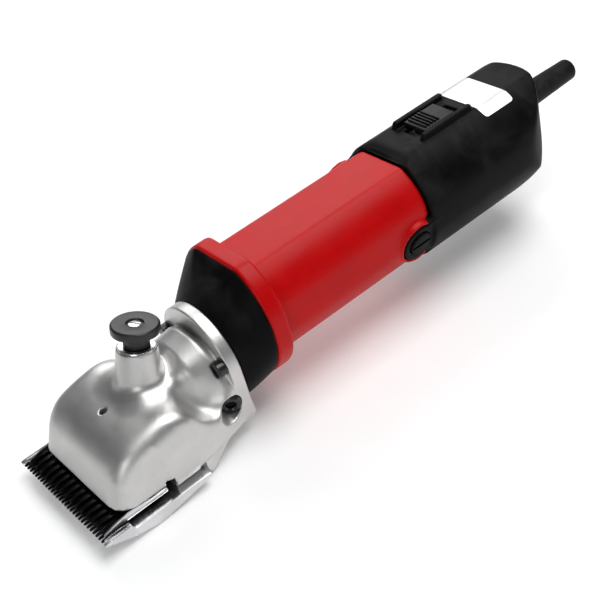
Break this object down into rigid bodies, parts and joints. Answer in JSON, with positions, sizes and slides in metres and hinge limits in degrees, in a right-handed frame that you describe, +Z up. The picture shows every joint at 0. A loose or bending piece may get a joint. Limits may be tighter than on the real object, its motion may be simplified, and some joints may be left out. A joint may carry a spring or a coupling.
{
  "type": "electric sheep shears",
  "caption": "Hand-held electric sheep shears: wide toothed comb and cutter in a cast head, tension knob, gear nose, motor barrel, rear grip with slide switch and cord boot.",
  "frame": {"origin": "under the middle of the tool's length, at the level of its lowest point, in the left-right mid-plane", "axes": "+Y along the motor axis from the comb towards the cord, +Z up through the switch, +X to the right seen from the cord end looking at the comb's back"},
  "size_m": [0.076, 0.342, 0.0773],
  "materials": {
    "blade_steel": "ground",
    "cutter_steel": "dark ground",
    "black_screw": "black oxide",
    "cast_aluminium": "satin cast",
    "bright_steel": "bright",
    "knob_black": "satin black",
    "forged_steel": "dark forged",
    "brass": "satin",
    "bearing_steel": "polished",
    "black_plastic": "semi-gloss black",
    "red_plastic": "glossy red",
    "lamination": "stacked sheet",
    "copper": "enamelled copper",
    "white_plastic": "moulded nylon",
    "carbon": "carbon",
    "black_switch": "matt black",
    "silver_plate": "satin",
    "boot_rubber": "smooth black rubber"
  },
  "bodies": {
    "housing": {"brush_cap_left": "black_plastic", "brush_cap_right": "black_plastic", "brush_holder_left": "brass", "brush_holder_right": "brass", "brush_spring_left": "bright_steel", "brush_spring_right": "bright_steel", "carbon_brush_left": "carbon", "carbon_brush_right": "carbon", "comb": "blade_steel", "comb_screws": "black_screw", "cord_boot": "boot_rubber", "cord_clamp_bar": "white_plastic", "cord_clamp_base": "white_plastic", "cord_clamp_screws": "bright_steel", "crank_bearing_outer": "bearing_steel", "crank_bush": "brass", "field_coil_lower": "copper", "field_coil_upper": "copper", "flange_screws": "black_screw", "front_bearing_outer": "bearing_steel", "fulcrum_lock_nut": "bright_steel", "fulcrum_post": "bright_steel", "gear_nose": "black_plastic", "grip_screws": "bright_steel", "head_casting": "cast_aluminium", "motor_barrel": "red_plastic", "name_plate": "silver_plate", "rear_bearing_outer": "bearing_steel", "rear_grip": "black_plastic", "stator_core": "lamination", "switch_block": "white_plastic", "switch_terminals": "brass", "tension_sleeve": "bright_steel"},
    "armature": {"armature_shaft": "bright_steel", "armature_core": "lamination", "armature_windings": "copper", "commutator": "copper", "fan": "white_plastic", "motor_pinion": "bright_steel", "front_bearing_inner": "bearing_steel", "rear_bearing_inner": "bearing_steel"},
    "crank": {"crank_shaft": "bright_steel", "crank_gear": "forged_steel", "crank_bearing_inner": "bearing_steel"},
    "roller": {"crank_roller": "bright_steel"},
    "fork": {"fork": "forged_steel", "cutter": "cutter_steel", "cutter_foot_left": "forged_steel", "cutter_foot_right": "forged_steel"},
    "tension_pin": {"tension_pin": "bright_steel", "tension_spring": "bright_steel"},
    "tension_nut": {"tension_nut": "knob_black", "nut_screw": "bright_steel"},
    "switch_slider": {"switch_slider": "black_switch"}
  },
  "joints": [
    {"name": "armature_spin", "type": "hinge", "parent": "housing", "child": "armature", "pos_m": [0, 0, 0.0452], "axis": [0, 1, 0], "continuous": true},
    {"name": "crank_spin", "type": "hinge", "parent": "housing", "child": "crank", "pos_m": [0, -0.075, 0.0296], "axis": [0, 1, 0], "continuous": true},
    {"name": "roller_spin", "type": "hinge", "parent": "crank", "child": "roller", "pos_m": [0, -0.093, 0.0303], "axis": [0, 1, 0], "continuous": true},
    {"name": "fork_rock", "type": "hinge", "parent": "housing", "child": "fork", "pos_m": [0, -0.109, 0.0182], "axis": [0, 0, 1], "range_deg": [-2.4, 2.4]},
    {"name": "tension_pin_slide", "type": "slide", "parent": "housing", "child": "tension_pin", "axis": [0, 0.2588, 0.9659], "range_m": [0, 0.00125]},
    {"name": "tension_nut_turn", "type": "hinge", "parent": "tension_pin", "child": "tension_nut", "pos_m": [0, -0.1166, 0.0406], "axis": [0, 0.2588, 0.9659], "range_deg": [0, 360]},
    {"name": "switch_slide", "type": "slide", "parent": "housing", "child": "switch_slider", "axis": [0, 1, 0], "range_m": [0, 0.006]}
  ],
  "couplings": [
    {"joint": "crank_spin", "follows": "armature_spin", "ratio": -0.18182},
    {"joint": "tension_nut_turn", "follows": "tension_pin_slide", "rad_per_m": 5026.5}
  ]
}
